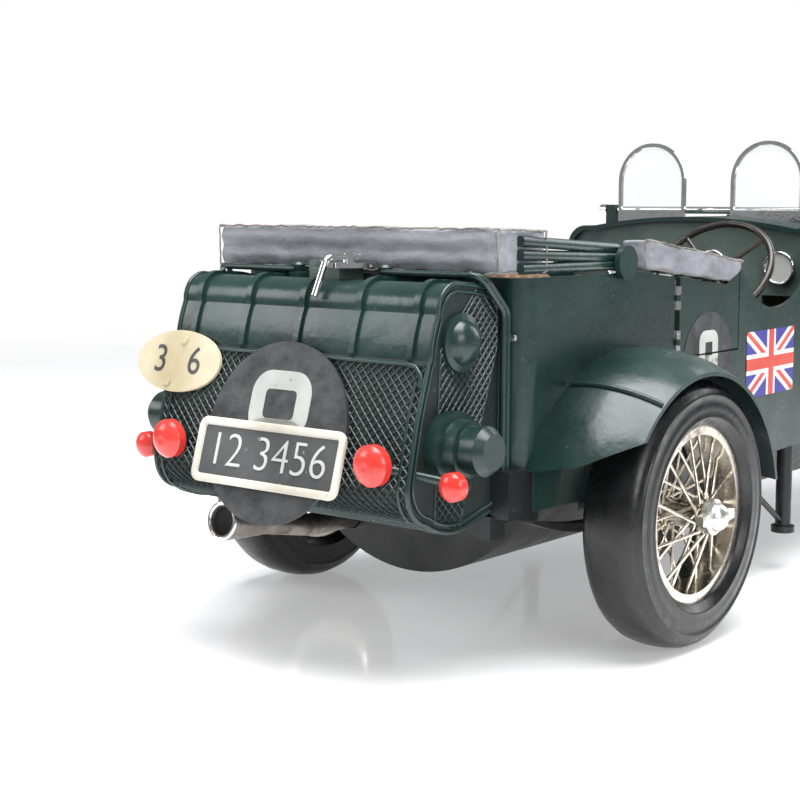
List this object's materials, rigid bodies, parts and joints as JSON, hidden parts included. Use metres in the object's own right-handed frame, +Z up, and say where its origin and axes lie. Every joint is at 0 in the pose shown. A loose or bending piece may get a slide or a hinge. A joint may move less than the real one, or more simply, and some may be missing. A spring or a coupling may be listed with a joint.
{
  "type": "diecast collector car",
  "caption": "Scale model of an open vintage touring car with wire wheels, folded hood, rear tank behind a stone guard, opening doors and working steering.",
  "frame": {"origin": "on the ground under the middle of the car's length and width", "axes": "+Y forwards, +X to the car's right, +Z up"},
  "size_m": [0.1576, 0.3778, 0.1341],
  "materials": {
    "green": "satin, lightly worn",
    "black": "satin",
    "mesh": "satin woven wire",
    "tyre_rubber": "satin",
    "wire_silver": "slightly tarnished",
    "bright_metal": "bright",
    "neck_grey": "satin",
    "dash_metal": "satin",
    "wheel_rim": "gloss",
    "hide": "aged",
    "hood_cloth": "waxed, worn edges",
    "clear": "clear",
    "ivory": "satin, worn edges",
    "lamp_red": "gloss"
  },
  "bodies": {
    "car": {"body_tub": "green", "scuttle": "green", "bonnet": "green", "petrol_tank": "green", "rear_fenders": "green", "front_fenders": "green", "hood_bows": "green", "vent_pipes": "green", "tank_end_fittings": "green", "tail_lamp_brackets": "green", "chassis_frame": "black", "leaf_springs": "black", "belly_pan": "black", "mounting_steps": "black", "rear_axle": "black", "front_axle_beam": "black", "radiator_core": "black", "number_disc": "black", "headlamp_mounts": "black", "stone_guard": "mesh", "radiator_shell": "bright_metal", "headlamp_bowls": "bright_metal", "aero_screen_frames": "bright_metal", "door_hinges": "bright_metal", "exhaust_pipe": "bright_metal", "hand_levers": "bright_metal", "filler_neck": "neck_grey", "dashboard": "dash_metal", "front_seats": "hide", "rear_seat": "hide", "bonnet_straps": "hide", "hood_rear_bundle": "hood_cloth", "hood_side_covers": "hood_cloth", "aero_screen_panes": "clear", "headlamp_lenses": "clear", "number_plate": "ivory", "oval_plate": "ivory", "tail_lamps": "lamp_red", "side_lamps": "lamp_red"},
    "wheel_rear_right": {"tyre_rear_right": "tyre_rubber", "wire_wheel_rear_right": "wire_silver", "hub_nut_rear_right": "wire_silver"},
    "wheel_rear_left": {"tyre_rear_left": "tyre_rubber", "wire_wheel_rear_left": "wire_silver", "hub_nut_rear_left": "wire_silver"},
    "wheel_front_right": {"tyre_front_right": "tyre_rubber", "wire_wheel_front_right": "wire_silver", "hub_nut_front_right": "wire_silver"},
    "wheel_front_left": {"tyre_front_left": "tyre_rubber", "wire_wheel_front_left": "wire_silver", "hub_nut_front_left": "wire_silver"},
    "knuckle_right": {"steering_knuckle_right": "black"},
    "knuckle_left": {"steering_knuckle_left": "black"},
    "tie_rod": {"tie_rod": "black"},
    "steering_wheel": {"steering_wheel": "wheel_rim"},
    "door_right": {"door_right": "green"},
    "door_left": {"door_left": "green"},
    "windscreen": {"windscreen_frame": "bright_metal", "windscreen_pane": "clear"},
    "filler_cap": {"filler_cap": "bright_metal"}
  },
  "joints": [
    {"name": "wheel_rear_right_spin", "type": "hinge", "parent": "car", "child": "wheel_rear_right", "pos_m": [0.0643, -0.1002, 0.035], "axis": [1, 0, 0], "continuous": true},
    {"name": "wheel_rear_left_spin", "type": "hinge", "parent": "car", "child": "wheel_rear_left", "pos_m": [-0.0643, -0.1002, 0.035], "axis": [1, 0, 0], "continuous": true},
    {"name": "steer_right", "type": "hinge", "parent": "car", "child": "knuckle_right", "pos_m": [0.05, 0.1498, 0.035], "axis": [0, 0, 1], "range_deg": [-10.5, 10.5]},
    {"name": "steer_left", "type": "hinge", "parent": "car", "child": "knuckle_left", "pos_m": [-0.05, 0.1498, 0.035], "axis": [0, 0, 1], "range_deg": [-10.5, 10.5]},
    {"name": "wheel_front_right_spin", "type": "hinge", "parent": "knuckle_right", "child": "wheel_front_right", "pos_m": [0.0643, 0.1498, 0.035], "axis": [1, 0, 0], "continuous": true},
    {"name": "wheel_front_left_spin", "type": "hinge", "parent": "knuckle_left", "child": "wheel_front_left", "pos_m": [-0.0643, 0.1498, 0.035], "axis": [1, 0, 0], "continuous": true},
    {"name": "steering_wheel_turn", "type": "hinge", "parent": "car", "child": "steering_wheel", "pos_m": [0.0225, -0.0075, 0.0921], "axis": [0, 0.766, -0.6428], "range_deg": [-90, 90]},
    {"name": "tie_rod_slide", "type": "slide", "parent": "car", "child": "tie_rod", "axis": [1, 0, 0], "range_m": [-0.0027, 0.0027]},
    {"name": "door_right_swing", "type": "hinge", "parent": "car", "child": "door_right", "pos_m": [0.0503, -0.0772, 0.08], "axis": [0, 0, -1], "range_deg": [0, 60]},
    {"name": "door_left_swing", "type": "hinge", "parent": "car", "child": "door_left", "pos_m": [-0.0503, -0.0772, 0.08], "axis": [0, 0, 1], "range_deg": [0, 60]},
    {"name": "windscreen_fold", "type": "hinge", "parent": "car", "child": "windscreen", "pos_m": [0, 0.0363, 0.1112], "axis": [1, 0, 0], "range_deg": [0, 75]},
    {"name": "filler_cap_hinge", "type": "hinge", "parent": "car", "child": "filler_cap", "pos_m": [-0.0032, -0.162, 0.0992], "axis": [0, -1, 0], "range_deg": [0, 95]}
  ],
  "couplings": [
    {"joint": "steer_right", "follows": "steering_wheel_turn", "ratio": -0.11},
    {"joint": "steer_left", "follows": "steering_wheel_turn", "ratio": -0.11},
    {"joint": "tie_rod_slide", "follows": "steering_wheel_turn", "m_per_rad": -0.00165}
  ]
}
